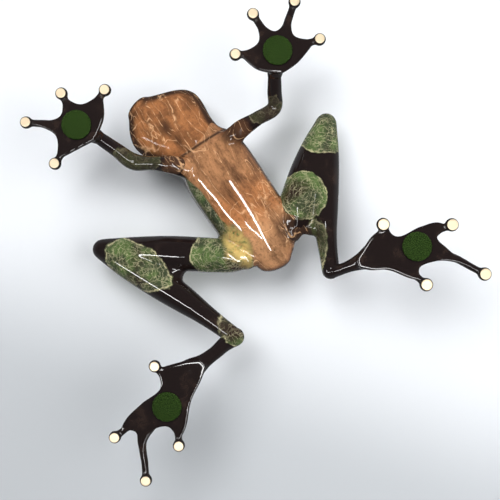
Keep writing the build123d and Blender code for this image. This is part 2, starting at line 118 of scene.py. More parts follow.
WEBS = {
    "right_hand": [
        [(-0.44, -0.11), (-0.307, -0.31)],
        [(0.25, -0.395)],
        [(0.375, 0.03)],
        [(0.16, 0.385)],
        [(-0.403, 0.34), (-0.44, 0.11)],
    ],
    "left_hand": [
        [(-0.43, -0.11), (-0.249, -0.351)],
        [(0.322, -0.30)],
        [(0.378, 0.075)],
        [(0.151, 0.379)],
        [(-0.392, 0.335), (-0.43, 0.11)],
    ],
    "right_foot": [
        [(-0.74, 0.02), (-0.60, -0.05), (-0.263, -0.175), (0.06, -0.384)],
        [(0.181, -0.196), (0.347, -0.091), (0.592, -0.166)],
        [(0.604, -0.06), (0.526, 0.048), (0.58, 0.139)],
        [(0.544, 0.251), (0.218, 0.26), (-0.112, 0.236)],
        [(-0.423, 0.344), (-0.60, 0.24), (-0.74, 0.13)],
    ],
    "left_foot": [
        [(-0.84, -0.05), (-0.70, -0.13), (-0.494, -0.184), (-0.174, -0.411)],
        [(-0.054, -0.304), (0.177, -0.266), (0.519, -0.399)],
        [(0.389, -0.133), (0.304, 0.047), (0.411, 0.114)],
        [(0.38, 0.231), (0.133, 0.244), (-0.237, 0.218)],
        [(-0.538, 0.307), (-0.70, 0.18), (-0.84, 0.06)],
    ],
}

# Felt disc from its lower centre out over the rim and back: share of the radius and of the thickness
FELT_PROFILE = [(0.3, 0), (0.7, 0), (0.93, 0), (0.985, 0.08), (0.998, 0.35), (0.99, 0.8), (0.97, 1), (0.5, 1)]

# Long ankles: forward of the pad's centre, across towards the head, height, half width and half height
TARSUS = {
    "right_foot": [
        (-40.8, 0.0, 11.0, 4.2, 4.2),
        (-36.1, 1.0, 9.0, 3.5, 3.4),
        (-30.7, 1.45, 6.6, 3.05, 2.8),
        (-24.2, 2.5, 4.1, 3.5, 2.4),
        (-17.9, 3.4, 2.9, 5.7, 1.9),
        (-11.0, 3.0, 2.4, 6.4, 1.3),
    ],
    "left_foot": [
        (-37.4, -0.2, 11.0, 3.7, 4.0),
        (-33.5, -0.6, 8.6, 2.6, 3.0),
        (-28.8, -0.1, 5.8, 2.8, 2.6),
        (-23.8, 0.55, 3.6, 4.15, 2.3),
        (-20.0, 1.1, 3.0, 5.7, 2.0),
        (-13.0, 1.1, 2.4, 6.4, 1.3),
    ],
}

# Flesh between thigh and shin: run from the knee, half width and half height
HOLLOW = {
    "right": [(3.0, 3.0, 4.0), (12.0, 7.4, 5.6), (21.0, 10.0, 5.4), (28.0, 10.2, 4.8), (34.0, 9.2, 4.2)],
    "left": [
        (3.0, 3.0, 4.0),
        (12.0, 7.0, 5.2),
        (22.0, 9.0, 4.8),
        (32.0, 9.6, 4.4),
        (42.0, 9.2, 4.0),
        (48.0, 8.0, 3.6),
    ],
}

# Thigh and shin: share of the way and radius, the thigh's as a share of its fullness but for its ends
THIGH_FULLNESS = {"right": 7.8, "left": 8.8}
SHIN = [(0.0, 5.0), (0.18, 6.7), (0.38, 7.2), (0.58, 6.4), (0.76, 4.9), (0.9, 4.2), (1.0, 4.1)]
THIGH_BOW = {"right": (0.0, 0.0), "left": (-0.5, 0.4)}
SHIN_BOW = {"right": (1.5, 0.1), "left": (-2.3, -0.5)}
ELBOW_RADIUS = {"right": 3.8, "left": 3.3}

# Torso sections: place from neck to rump, half width, depth below and rise above the axis, and shift to the
# frog's left, in mm
TORSO_AXIS = 20.5
TORSO = [
    (-0.06, 12.2, 5.6, 8.2, -2.2),
    (0.0, 13.6, 6.6, 10.4, -2.0),
    (0.06, 15.4, 9.6, 11.3, -1.4),
    (0.13, 16.2, 11.6, 11.8, -0.6),
    (0.27, 16.9, 12.5, 12.5, -0.6),
    (0.42, 16.8, 12.5, 12.5, -0.5),
    (0.57, 16.6, 12.5, 11.6, -0.2),
    (0.71, 15.6, 11.8, 10.3, -0.2),
    (0.83, 13.0, 9.9, 8.4, -0.6),
    (0.90, 10.4, 7.6, 6.4, -1.4),
    (0.94, 8.0, 5.8, 5.0, -2.0),
]
TORSO_LENGTH = 66.5

# Head sections: place from neck to snout, half width, depth below and rise above the axis, and shift to the
# frog's right, in mm
HEAD_AXIS = 23.4
HEAD_LENGTH = 35.5
HEAD_TURN = math.radians(18.0)
HEAD = [
    (-0.10, 11.5, 7.6, 6.8, 0.0),
    (0.0, 12.9, 8.9, 7.6, 0.1),
    (0.13, 14.0, 9.3, 9.9, 0.3),
    (0.26, 16.2, 9.4, 10.4, 0.6),
    (0.39, 18.0, 9.5, 10.9, 0.7),
    (0.50, 18.5, 9.6, 11.1, 0.8),
    (0.62, 17.7, 9.5, 10.3, 1.5),
    (0.72, 15.4, 8.8, 9.0, 2.5),
    (0.80, 12.5, 7.8, 7.6, 3.4),
    (0.88, 9.2, 6.2, 6.0, 3.9),
    (0.94, 6.6, 4.6, 4.4, 3.9),
]
EYE_FORWARD = 16.86
EYE_SPREAD = 10.9
MOUND_HEIGHT = 30.8
MOUND_RADIUS = 6.4
EYE_TILT = math.radians(31.0)
EYE_RADIUS = 4.55
EYE_LIFT = 4.99
MOUTH_HEIGHT = 21.2
NOSTRIL_FORWARD = 31.0
NOSTRIL_SPREAD = 3.6

# Places of the patina's soft changes and of painted shade, over the ground
MOSS_ZONE = (3.5, 13.5)
LEFT_ARM_ROOT = (28.0, -29.0)
LEFT_HIP_ROOT = (28.5, 20.0)
BEHIND_HIP = (32.5, 20.5)
DULL_SHOULDER = (32.0, -29.0)
DULL_HIP = (32.0, 21.0)
THIGH_ROOT = (27.0, 24.0)
LEFT_SHIN_SHADE = (36.0, 29.0)
RIGHT_HEEL_SHADE = (-19.9, 46.8)
CHEEK_SHADE = (4.8, -47.8)

# Patches of green patina: centre, end of the long axis and half width, in mm over the ground
PATCHES = [
    ((-39.6, -3.2), (-31.6, 12.2), 9.6),
    ((-5.0, 13.0), (-17.0, 6.6), 13.0),
    ((6.0, 10.5), (7.2, -4.5), 8.5),
    ((0.0, -8.0), (-0.6, -24.0), 5.0),
    ((64.6, -8.6), (70.4, -18.0), 13.5),
    ((39.6, 10.8), (33.0, 19.4), 10.4),
    ((30.2, 33.8), (38.8, 23.2), 5.6),
    ((-18.4, 45.0), (-20.4, 34.4), 5.4),
    ((-13.2, -42.2), (-5.4, -35.6), 5.8),
    ((46.5, -29.6), (38.4, -29.6), 5.2),
    ((15.0, 2.0), (15.0, -22.0), 9.5),
    ((8.0, -52.0), (14.0, -40.0), 7.0),
]


def settings():
    """Sizes and colours kept on the scene."""
    return bpy.context.scene.frog_sizes, bpy.context.scene.frog_colours


class FrogSizes(bpy.types.PropertyGroup):
    """Sizes of the frog's finish, in metres."""

    detail: bpy.props.FloatProperty(
        name="Casting detail", description="Mesh size of the fused castings", default=0.00048, unit="LENGTH"
    )
    foot_detail: bpy.props.FloatProperty(
        name="Foot detail", description="Mesh size of the hands and feet", default=0.00036, unit="LENGTH"
    )
    ball_radius: bpy.props.FloatProperty(
        name="Toe ball radius", description="Radius of the ball at a toe tip", default=0.00275, unit="LENGTH"
    )
    pad_radius: bpy.props.FloatProperty(
        name="Felt pad radius", description="Radius of a felt disc", default=0.00635, unit="LENGTH"
    )
    pad_thickness: bpy.props.FloatProperty(
        name="Felt pad thickness", description="Thickness of a felt disc", default=0.001, unit="LENGTH"
    )


def swatch(name, note, red, green, blue):
    """Colour property from red, green and blue parts of 255 as seen on a screen."""
    parts = [((c / 255 + 0.055) / 1.055) ** 2.4 if c > 10 else c / 255 / 12.92 for c in (red, green, blue)]
    return bpy.props.FloatVectorProperty(
        name=name, description=note, subtype="COLOR", size=4, min=0, max=1, default=(*parts, 1.0)
    )


class FrogColours(bpy.types.PropertyGroup):
    """Colours of the patina, the felt, the eyes and the studio."""

    dark: swatch("Dark patina", "Near black brown of the limbs", 30, 22, 21)
    # Also the brown that the painted shade darkens the copper and the green to
    dark_warm: swatch("Warm dark patina", "Brown that shows in the dark limbs", 50, 38, 33)
    copper: swatch("Copper patina", "Warm copper brown of the belly", 196, 130, 82)
    # Also the colour of the painted shade on the copper
    copper_dark: swatch("Dark copper", "Brown clouds in the copper", 84, 57, 40)
    # Also the colour of the painted light on the copper
    copper_light: swatch("Light copper", "Wisps in the copper", 238, 188, 140)
    green_dark: swatch("Dark green", "Ground of the green patches", 62, 70, 50)
    green: swatch("Green", "Clouds of the green patches", 88, 110, 62)
    lime: swatch("Lime", "Wisps and rims of the green patches", 206, 198, 156)
    moss: swatch("Moss", "Yellow green where the belly meets the thigh", 212, 184, 112)
    bare: swatch("Bare bronze", "Ground facets of the toes", 252, 230, 196)
    felt: swatch("Felt", "Felt discs", 68, 94, 44)
    felt_dark: swatch("Dark felt", "Shade between the hairs of the felt", 20, 32, 12)
    eye: swatch("Eye", "Glass of the eyes", 20, 14, 9)
    floor: swatch("Floor", "Floor under the frog", 236, 239, 243)
    backdrop: swatch("Backdrop", "Sheet behind the frog when it is seen from below", 240, 243, 247)
    # Painted shade: the backdrop goes darker towards the foot of the picture
    backdrop_shade: swatch("Backdrop, far", "Shade of the backdrop at the foot of the picture", 205, 209, 213)


# Shapes

FILL, UNDO = 0.5, -0.52


def curve_rows(stations, step):
    """Smooth rows through the stations. Each number is a cubic along the chord length whose slope at a
    station is the mean of the slopes on both sides, weighted by the opposite chord."""
    pts = np.asarray(stations, float)
    chord = np.linalg.norm(np.diff(pts[:, :3], axis=0), axis=1)
    at = np.concatenate([[0.0], np.cumsum(chord)])
    rise = np.diff(pts, axis=0) / chord[:, None]
    slope = np.vstack([rise[:1], np.zeros_like(pts[1:-1]), rise[-1:]])
    if len(pts) > 2:
        near, far = chord[:-1, None], chord[1:, None]
        slope[1:-1] = (rise[:-1] * far + rise[1:] * near) / (near + far)
    count = max(int(at[-1] / step), 8)
    where = np.linspace(0, at[-1], count)
    k = np.clip(np.searchsorted(at, where, side="right") - 1, 0, len(chord) - 1)
    t = ((where - at[k]) / chord[k])[:, None]
    h = chord[k][:, None]
    return (
        (2 * t**3 - 3 * t**2 + 1) * pts[k]
        + (t**3 - 2 * t**2 + t) * h * slope[k]
        + (3 * t**2 - 2 * t**3) * pts[k + 1]
        + (t**3 - t**2) * h * slope[k + 1]
    )


def ring_faces(rows, sides):
    """Quads between neighbouring closed rings, and fans from a pole at each end."""
    i, j = np.meshgrid(np.arange(rows - 1), np.arange(sides), indexing="ij")
    nxt = (j + 1) % sides
    quads = np.stack([i * sides + j, i * sides + nxt, (i + 1) * sides + nxt, (i + 1) * sides + j], axis=-1)
    ring = np.arange(sides)
    turn = (ring + 1) % sides
    start = np.stack([turn, ring, np.full(sides, rows * sides)], axis=-1)
    last = (rows - 1) * sides
    end = np.stack([last + ring, last + turn, np.full(sides, rows * sides + 1)], axis=-1)
    return quads.reshape(-1, 4).tolist() + start.tolist() + end.tolist()


def tube(stations, step=0.7, sides=56, squareness=2.0, round_ends=1.0, heading=None):
    """Closed tube. The first parameter runs along a smooth path through the stations, the second round the
    section: centre + side times half width times cosine + up times depth or rise times sine, the ends
    closed by rows whose size falls as the cosine of a quarter turn. With a heading all sections face it.
    A station is x, y, z, half width, rise, depth."""
    rows = curve_rows(stations, step)
    middle, size = rows[:, :3], rows[:, 3:6]
    along = np.gradient(middle, axis=0) if heading is None else np.tile(heading, (len(middle), 1))
    along = along / np.linalg.norm(along, axis=1)[:, None]
    quarter = np.linspace(0, np.pi / 2, 9)[1:-1]
    out = np.sin(quarter)[:, None] * round_ends
    shrink = np.cos(quarter)[:, None]
    head_size, tail_size = size[0].mean(), size[-1].mean()
    middle = np.vstack(
        [(middle[:1] - along[:1] * out * head_size)[::-1], middle, middle[-1:] + along[-1:] * out * tail_size]
    )
    size = np.vstack([(size[:1] * shrink)[::-1], size, size[-1:] * shrink])
    caps = len(quarter)
    along = np.vstack([np.repeat(along[:1], caps, 0), along, np.repeat(along[-1:], caps, 0)])
    side = np.cross(along, UP)
    side /= np.linalg.norm(side, axis=1)[:, None]
    up = np.cross(side, along)
    angle = np.linspace(0, 2 * np.pi, sides, endpoint=False)
    power = 2.0 / squareness
    c = np.sign(np.cos(angle)) * np.abs(np.cos(angle)) ** power
    s = np.sign(np.sin(angle)) * np.abs(np.sin(angle)) ** power
    tall = np.where(s[None, :] >= 0, size[:, 1:2], size[:, 2:3])
    points = (
        middle[:, None, :]
        + side[:, None, :] * (size[:, 0:1] * c[None, :])[:, :, None]
        + up[:, None, :] * (tall * s[None, :])[:, :, None]
    )
    poles = np.array(
        [
            rows[0, :3] - along[0] * head_size * round_ends,
            rows[-1, :3] + along[-1] * tail_size * round_ends,
        ]
    )
    return np.vstack([points.reshape(-1, 3), poles]), ring_faces(len(middle), sides)


def ball(centre, radius, rows=24, sides=40):
    """Closed ball: centre + radius times (sine of latitude times cosine and sine of longitude, cosine of
    latitude)."""
    lat = np.linspace(0, np.pi, rows + 2)[1:-1]
    lon = np.linspace(0, 2 * np.pi, sides, endpoint=False)
    la, lo = np.meshgrid(lat, lon, indexing="ij")
    points = np.stack([np.sin(la) * np.cos(lo), -np.sin(la) * np.sin(lo), np.cos(la)], axis=-1).reshape(-1, 3)
    points = np.vstack([points, [0, 0, 1], [0, 0, -1]])
    return np.asarray(centre) + points * radius, ring_faces(rows, sides)


def plate(outline, low, high):
    """Flat plate: a closed outline carried straight up from low to high, closed by flat faces."""
    flat = np.asarray(outline)
    n = len(flat)
    points = np.vstack([np.column_stack([flat, np.full(n, low)]), np.column_stack([flat, np.full(n, high)])])
    tris = np.array(tessellate_polygon([[Vector((x, y, 0)) for x, y in flat]]))
    a, b, c = (flat[tris[:, i]] for i in range(3))
    turn = np.sign((b[:, 0] - a[:, 0]) * (c[:, 1] - a[:, 1]) - (b[:, 1] - a[:, 1]) * (c[:, 0] - a[:, 0]))
    upward = np.where(turn[:, None] > 0, tris, tris[:, ::-1])
    ring = np.arange(n)
    nxt = (ring + 1) % n
    area = np.sum(flat[:, 0] * np.roll(flat[:, 1], -1) - np.roll(flat[:, 0], -1) * flat[:, 1])
    wall = np.stack([ring, nxt, nxt + n, ring + n], axis=-1)
    wall = wall if area > 0 else wall[:, ::-1]
    return points, upward[:, ::-1].tolist() + (upward + n).tolist() + wall.tolist()


def joined(shells):
    """Several closed shells as one list of points and faces."""
    points, faces, base = [], [], 0
    for p, f in shells:
        points.append(p)
        faces += [[i + base for i in face] for face in f]
        base += len(p)
    return np.vstack(points), faces


def mesh_object(name, points, faces):
    """Object in metres from points in millimetres."""
    mesh = bpy.data.meshes.new(name)
    mesh.from_pydata((np.asarray(points) * MM).tolist(), [], faces)
    mesh.update()
    obj = bpy.data.objects.new(name, mesh)
    bpy.context.scene.collection.objects.link(obj)
    return obj


def points_of(mesh):
    """Vertices of a mesh in millimetres."""
    flat = np.empty(len(mesh.vertices) * 3, np.float32)
    mesh.vertices.foreach_get("co", flat)
    return flat.reshape(-1, 3).astype(float) / MM


def set_points(mesh, points):
    """Writes vertices in millimetres back to a mesh."""
    mesh.vertices.foreach_set("co", (points * MM).astype(np.float32).ravel())
    mesh.update()


def moved(points, edges, shares):
    """Points after one round for each share: each moves by that share of the way to its neighbours' mean."""
    count = np.bincount(edges.ravel(), minlength=len(points))[:, None]
    for share in shares:
        total = np.zeros_like(points)
        for axis in range(3):
            total[:, axis] = np.bincount(edges[:, 0], points[edges[:, 1], axis], len(points)) + np.bincount(
                edges[:, 1], points[edges[:, 0], axis], len(points)
            )
        points = points + share * (total / count - points)
    return points


def fused(name, shells, detail, smooth_rounds, fill_rounds):
    """One smooth casting from overlapping closed shells: a fine net over their union. Rounds of moving half
    way to the neighbours' mean fill the creases; rounds of that and a little more back again take out the
    steps and keep the volume."""
    obj = mesh_object(name, *joined(shells))
    net = obj.modifiers.new("net", "REMESH")
    net.mode = "VOXEL"
    net.voxel_size = detail * 1.0
    ready = obj.evaluated_get(bpy.context.evaluated_depsgraph_get())
    mesh = bpy.data.meshes.new_from_object(ready)
    obj.modifiers.clear()
    obj.data = mesh
    edges = np.empty(len(mesh.edges) * 2, np.int32)
    mesh.edges.foreach_get("vertices", edges)
    edges = edges.reshape(-1, 2)
    set_points(mesh, moved(points_of(mesh), edges, [FILL] * fill_rounds + [FILL, UNDO] * smooth_rounds))
    return obj


def bump_of(distance, reach):
    """Bell that is 1 at no distance and fades over the reach."""
    return np.exp(-((distance / reach) ** 2))


def smooth_share(x, low, high):
    """0 below low and 1 above high, with an S curve between."""
    t = np.clip((x - low) / (high - low), 0, 1)
    return t * t * (3 - 2 * t)


# Patina fields, with painted light and painted shade among them, painted on each casting as attributes


def patch_depth(points):
    """Distance in mm inside the nearest green patch: for an oval, half width times (1 - length of the point
    in the oval's own units); the largest over all patches."""
    best = np.full(len(points), -30.0)
    for centre, end, width in PATCHES:
        centre, end = np.array(centre), np.array(end)
        axis = end - centre
        length = np.linalg.norm(axis)
        axis = axis / length
        rel = points[:, :2] - centre
        along = rel @ axis / length
        across = (rel[:, 0] * axis[1] - rel[:, 1] * axis[0]) / width
        best = np.maximum(best, min(width, length) * (1 - np.sqrt(along**2 + across**2)))
    return best


def normals_of(mesh):
    """Direction that each point of a mesh faces."""
    normals = np.empty(len(mesh.vertices) * 3, np.float32)
    mesh.vertices.foreach_get("normal", normals)
    return normals.reshape(-1, 3)


def facing_down(mesh):
    """How far each point of a mesh faces down: 1 straight down, -1 straight up."""
    return -normals_of(mesh)[:, 2]


def bell_at(points, place, reach):
    """Bell round a place over the ground."""
    return bump_of(np.hypot(points[:, 0] - place[0], points[:, 1] - place[1]), reach)


def paint(obj, copper=0.0, bare=0.0, painted_shade=0.0, moss=0.0, painted_light=0.0, satin=0.0):
    """Writes a casting's patina fields and its painted light and shade: share of copper, of bare bronze, of
    painted shade, of yellow green, of painted light on the copper and of duller lacquer, and the depth inside
    the green patches."""
    points = points_of(obj.data)
    fields = {"copper": copper, "bare": bare, "painted_shade": painted_shade, "moss": moss, "painted_light": painted_light, "satin": satin}
    for name, values in {**fields, "patch": patch_depth(points)}.items():
        layer = obj.data.attributes.new(name, "FLOAT", "POINT")
        layer.data.foreach_set("value", (np.zeros(len(points)) + values).astype(np.float32))


# Materials

# Grain of the copper: how fine it is across, along and upright, and its turn from the spine
GRAIN, GRAIN_TURN = (170.0, 48.0, 110.0), 0.35
LONG_GRAIN, LONG_GRAIN_TURN = (95.0, 13.0, 50.0), 0.30


class Net:
    """Short hand for the nodes of a material or of the world."""

    def __init__(self, owner):
        owner.use_nodes = True
        self.owner = owner
        self.nodes, self.links = owner.node_tree.nodes, owner.node_tree.links
        self.nodes.clear()
        self.coordinates = self.nodes.new("ShaderNodeTexCoord").outputs
        self.place = self.coordinates["Object"]

    def put(self, socket, value):
        """Links a socket or sets a plain value."""
        if isinstance(value, bpy.types.NodeSocket):
            self.links.new(value, socket)
        else:
            socket.default_value = value

    def node(self, kind, inputs, operation=None):
        """New node whose inputs, by name or number, are linked or set."""
        node = self.nodes.new("ShaderNode" + kind)
        if operation:
            node.operation = operation
        for key, value in inputs.items():
            self.put(node.inputs[key], value)
        return node

    def field(self, name):
        """Attribute painted on the mesh."""
        node = self.node("Attribute", {})
        node.attribute_name = name
        return node.outputs["Fac"]

    def noise(self, where, scale, detail, rough=0.55, output="Fac"):
        """Cloudy noise over a place."""
        inputs = {"Vector": where, "Scale": scale, "Detail": detail, "Roughness": rough}
        return self.node("TexNoise", inputs).outputs[output]

    def sum(self, operation, a, b=0.0, c=0.0):
        """One step of arithmetic."""
        return self.node("Math", {0: a, 1: b, 2: c}, operation).outputs[0]

    def warped(self, scale, amount):
        """Places pushed about by a noise, for flowing marble."""
        push = self.noise(self.place, scale, 2.0, output="Color")
        push = self.node("VectorMath", {0: push, 1: (0.5, 0.5, 0.5)}, "SUBTRACT").outputs[0]
        push = self.node("VectorMath", {0: push, "Scale": amount}, "SCALE").outputs[0]
        return self.node("VectorMath", {0: self.place, 1: push}, "ADD").outputs[0]

    def span(self, value, low, high, start=0.0, end=1.0):
        """From start to end as the value goes from low to high, smoothly."""
        inputs = {"Value": value, "From Min": low, "From Max": high, "To Min": start, "To Max": end}
        node = self.node("MapRange", inputs)
        node.interpolation_type = "SMOOTHSTEP"
        return node.outputs["Result"]

    def swing(self, value, reach):
        """A value's distance from its middle, 0.5, made larger."""
        return self.sum("MULTIPLY", self.sum("SUBTRACT", value, 0.5), reach)

    def veins(self, where, scale, detail, width):
        """Thin wisps where a noise crosses its middle: 1 on the crossing, 0 past the width."""
        away = self.sum("ABSOLUTE", self.sum("SUBTRACT", self.noise(where, scale, detail, 0.6), 0.5))
        return self.span(away, width, 0.0)

    def contours(self, value, count, width):
        """Thin lines at even steps of a value: 1 on a line, 0 past the width."""
        return self.span(self.sum("PINGPONG", self.sum("MULTIPLY", value, count), 0.5), width, 0.0)

    def cracks(self, where, scale, width):
        """Thin lines of a net of uneven cells: 1 on a line, 0 past the width."""
        node = self.node("TexVoronoi", {"Vector": where, "Scale": scale})
        node.feature = "DISTANCE_TO_EDGE"
        return self.span(node.outputs["Distance"], width, 0.0)

    def stretched(self, scale, turn):
        """Places scaled by axis and turned about the upright, for a grain that runs along the body."""
        inputs = {"Vector": self.warped(60.0, 0.006), "Rotation": (0.0, 0.0, turn), "Scale": scale}
        return self.node("Mapping", inputs).outputs[0]

    def mix(self, share, first, second):
        """Blend of two colours."""
        node = self.node("Mix", {0: share})
        node.data_type = "RGBA"
        self.put(node.inputs[6], first)
        self.put(node.inputs[7], second)
        return node.outputs[2]

    def bump(self, height, strength, distance):
        """Surface relief."""
        inputs = {"Height": height, "Strength": strength, "Distance": distance}
        return self.node("Bump", inputs).outputs["Normal"]

    def output(self, kind, socket):
        """Ends the net in its surface."""
        self.links.new(socket, self.nodes.new("ShaderNodeOutput" + kind).inputs["Surface"])

    def surface(self, **values):
        """Principled surface, and the material that it ends."""
        inputs = {key.replace("_", " "): value for key, value in values.items()}
        self.output("Material", self.node("BsdfPrincipled", inputs).outputs[0])
        return self.owner


def copper_colour(net, colours, flow, fine, clouds, fade):
    """Copper of belly and throat: a grain along the body, brown clouds, rims darkened by painted shade,
    painted light where it faces the lamps, and long light wisps.
    """
    grain = net.stretched(GRAIN, GRAIN_TURN)
    long_grain = net.stretched(LONG_GRAIN, LONG_GRAIN_TURN)
    # Painted light: the copper is lighter where the painted light field is high
    lit = net.mix(net.sum("MULTIPLY", net.field("painted_light"), 0.30), colours.copper, colours.copper_light)
    copper = net.mix(net.span(net.noise(grain, 1.0, 8.0, 0.72), 0.34, 0.74), lit, colours.copper_dark)
    copper = net.mix(net.span(net.noise(fine, 700.0, 3.0, 0.7), 0.45, 0.95), copper, colours.copper_dark)
    # Random brown clouds, made thinner where the painted light falls
    shade = net.span(net.noise(flow, 34.0, 7.0, 0.7), 0.46, 0.64)
    shade = net.sum("MULTIPLY", shade, net.sum("MULTIPLY_ADD", net.field("painted_light"), -0.35, 0.62))
    # Painted shade darkens the copper, and the deepest of it goes to warm dark brown
    painted_shade = net.sum("MULTIPLY", net.field("painted_shade"), net.span(clouds, 0.16, 0.40))
    copper = net.mix(net.sum("MAXIMUM", shade, painted_shade), copper, colours.copper_dark)
    copper = net.mix(net.sum("MULTIPLY", net.span(painted_shade, 0.35, 1.0), 0.8), copper, colours.dark_warm)
    wisp = net.sum("MAXIMUM", net.veins(long_grain, 0.9, 2.0, 0.010), net.veins(long_grain, 1.7, 2.0, 0.008))
    wisp = net.sum("MAXIMUM", wisp, net.veins(fine, 52.0, 1.0, 0.010))
    return net.mix(net.sum("MULTIPLY", wisp, net.sum("MULTIPLY", fade, 0.72)), copper, colours.copper_light)


def green_colour(net, colours, flow, fine, clouds, streaks, fade, edge):
    """Green of the patches: clouds, the yellow zone, fine lime-coloured threads that follow the rim, the rim,
    and painted shade over it.
    """
    depth = net.field("patch")
    green = net.mix(net.span(clouds, 0.40, 0.62), colours.green_dark, colours.green)
    green = net.mix(net.span(net.noise(flow, 60.0, 3.0, 0.5), 0.50, 0.72), green, colours.dark_warm)
    mossy = net.span(net.sum("ADD", net.field("moss"), net.swing(clouds, 1.6)), 0.25, 1.0)
    green = net.mix(mossy, green, net.mix(net.span(streaks, 0.44, 0.72), colours.moss, colours.green))
    swirl = net.contours(net.sum("MULTIPLY_ADD", net.noise(fine, 110.0, 5.0, 0.6), 11.0, depth), 0.62, 0.13)
    crumple = net.sum("MULTIPLY", net.cracks(fine, 330.0, 0.07), 0.5)
    crumple = net.sum("MAXIMUM", net.cracks(fine, 150.0, 0.035), crumple)
    threads = net.sum("MAXIMUM", net.sum("MULTIPLY", swirl, 0.62), net.sum("MULTIPLY", crumple, 0.5))
    threads = net.sum("MULTIPLY", threads, net.span(streaks, 0.32, 0.56))
    green = net.mix(threads, green, net.mix(mossy, colours.lime, colours.copper))
    rim = net.sum("MULTIPLY", net.span(edge, -0.1, 0.2), net.span(edge, 0.7, 0.25))
    green = net.mix(net.sum("MULTIPLY", rim, fade), green, colours.lime)
    # Painted shade darkens the green towards warm dark brown
    return net.mix(net.field("painted_shade"), green, colours.dark_warm)


def patina_material():
    """Hot patina under clear lacquer: dark limbs, green ovals full of wisps, copper belly, bare facets,
    painted shade and painted light.
    """
    colours = settings()[1]
    net = Net(bpy.data.materials.new("lacquered_patina"))
    flow = net.warped(90.0, 0.010)
    fine = net.warped(260.0, 0.004)
    clouds = net.noise(flow, 110.0, 5.0, 0.6)
    streaks = net.noise(fine, 320.0, 4.0, 0.6)
    fade = net.span(streaks, 0.36, 0.62)
    edge = net.sum("ADD", net.field("patch"), net.swing(clouds, 5.0))
    belly = net.sum("ADD", net.field("copper"), net.swing(clouds, 0.9))
    bare = net.span(net.field("bare"), 0.30, 0.75)
    colour = net.mix(net.span(net.noise(flow, 120.0, 4.0, 0.6), 0.5, 0.75), colours.dark, colours.dark_warm)
    green = green_colour(net, colours, flow, fine, clouds, streaks, fade, edge)
    colour = net.mix(net.span(edge, -0.4, 0.3), colour, green)
    copper = copper_colour(net, colours, flow, fine, clouds, fade)
    colour = net.mix(net.span(belly, 0.35, 0.65), colour, copper)
    return net.surface(
        Base_Color=net.mix(bare, colour, colours.bare),
        Metallic=net.sum("MULTIPLY", bare, 0.55),
        Roughness=0.42,
        Coat_Weight=net.sum("SUBTRACT", 1.0, net.sum("MAXIMUM", bare, net.field("satin"))),
        Coat_Roughness=0.03,
        Coat_IOR=1.52,
        Specular_IOR_Level=0.0,
    )


def felt_material():
    """Pressed wool felt: mottled green, matt, with a fine fuzz."""
    colours = settings()[1]
    net = Net(bpy.data.materials.new("fuzzy_felt"))
    fuzz = net.noise(net.place, 2600.0, 3.0, 0.7)
    shade = net.mix(net.span(fuzz, 0.42, 0.66), colours.felt_dark, colours.felt)
    return net.surface(
        Base_Color=shade,
        Roughness=0.95,
        Specular_IOR_Level=0.0,
        Normal=net.bump(fuzz, 0.8, 0.0003),
    )


def eye_material():
    """Dark glossy glass."""
    net = Net(bpy.data.materials.new("polished_eye"))
    return net.surface(
        Base_Color=tuple(settings()[1].eye),
        Roughness=0.25,
        Coat_Weight=1.0,
        Coat_Roughness=0.02,
        Coat_IOR=1.5,
    )


def finish_piece(obj, material, nodes):
    """Material, smooth shading, body and replaced nodes of a piece."""
    obj.data.materials.clear()
    obj.data.materials.append(material)
    obj.data.polygons.foreach_set("use_smooth", np.ones(len(obj.data.polygons), bool))
    obj.data.update()
    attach(obj, "root")
    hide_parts(*nodes)


def patina():
    """The one patina material, made when first asked for."""
    return bpy.data.materials.get("lacquered_patina") or patina_material()


# Pieces


def joints(side, *names):
    """Joints of the skeleton as arrays."""
    return [np.array(JOINTS[side][name]) for name in names]


def run_stations(start, end, shares, bow=(0.0, 0.0)):
    """Stations along a run: share of the way and radius. The middle is bowed sideways by up to the bow, as
    the sine of half a turn."""
    bow = np.array([*bow, 0.0])
    stations = []
    for share, radius in shares:
        middle = start + (end - start) * share + bow * math.sin(math.pi * share)
        stations.append((*middle, radius, radius, radius))
    return stations


def torso_stations():
    """Sections of the torso from inside the neck to the rump."""
    return [
        (SPINE_X + shift, NECK[1] + TORSO_LENGTH * place, TORSO_AXIS, width, rise, depth)
        for place, width, depth, rise, shift in TORSO
    ]


def head_point(forward, across, height):
    """Point in the head's own directions: forward to the snout, across to the frog's left."""
    s, c = math.sin(HEAD_TURN), math.cos(HEAD_TURN)
    return np.array([NECK[0] - forward * s + across * c, NECK[1] - forward * c - across * s, height])


def head_stations():
    """Sections of the head from inside the torso to the snout."""
    return [
        (*head_point(HEAD_LENGTH * place, -shift, HEAD_AXIS), width, rise, depth)
        for place, width, depth, rise, shift in HEAD
    ]


def eye_seat(side):
    """Centre of an eye's mound and the direction the eye looks."""
    across = head_point(0, SIDE[side], 0) - head_point(0, 0, 0)
    facing = across * math.sin(EYE_TILT) + UP * math.cos(EYE_TILT)
    return head_point(EYE_FORWARD, SIDE[side] * EYE_SPREAD, MOUND_HEIGHT), facing


def moss_share(points):
    """1 in the yellow green zone where the belly meets the right thigh, fading to 0 round it."""
    away = np.hypot((points[:, 0] - MOSS_ZONE[0]) / 6.0, (points[:, 1] - MOSS_ZONE[1]) / 11.0)
    return smooth_share(away, 1.75, 0.25) * smooth_share(points[:, 2], 24.0, 19.0)


def satin_share(points):
    """Where the lacquer is duller: at the roots of the left arm and the left thigh."""
    return 0.85 * np.maximum(bell_at(points, DULL_SHOULDER, 8.0), bell_at(points, DULL_HIP, 8.0))


def neck_line(points):
    """Painted shade: a dark line in the crease of the neck."""
    return 0.85 * bump_of(points[:, 1] - NECK[1], 0.9)


